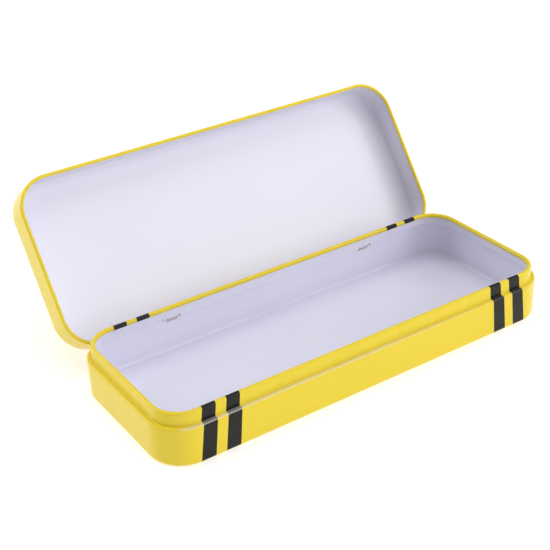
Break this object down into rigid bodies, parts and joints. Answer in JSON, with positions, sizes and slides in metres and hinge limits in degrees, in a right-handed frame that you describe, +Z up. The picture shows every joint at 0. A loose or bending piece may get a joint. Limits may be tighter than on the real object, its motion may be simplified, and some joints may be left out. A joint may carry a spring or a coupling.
{
  "type": "hinged tin pencil case",
  "caption": "Long tinplate pencil case: a tray with a stepped neck and a shallow lid on hidden rolled hinges, standing open.",
  "frame": {"origin": "middle of the flat underside of the base tray, on the surface that it stands on", "axes": "+X along the length, +Y towards the hinge side, +Z up"},
  "size_m": [0.2, 0.1352, 0.0777],
  "materials": {
    "yellow_enamel": "glossy litho enamel"
  },
  "bodies": {
    "tray": {"base_tray": "yellow_enamel"},
    "lid": {"lid": "yellow_enamel"}
  },
  "joints": [
    {"name": "lid_hinge", "type": "hinge", "parent": "tray", "child": "lid", "pos_m": [0, 0.0381, 0.0166], "axis": [1, 0, 0], "range_deg": [0, 126]}
  ]
}
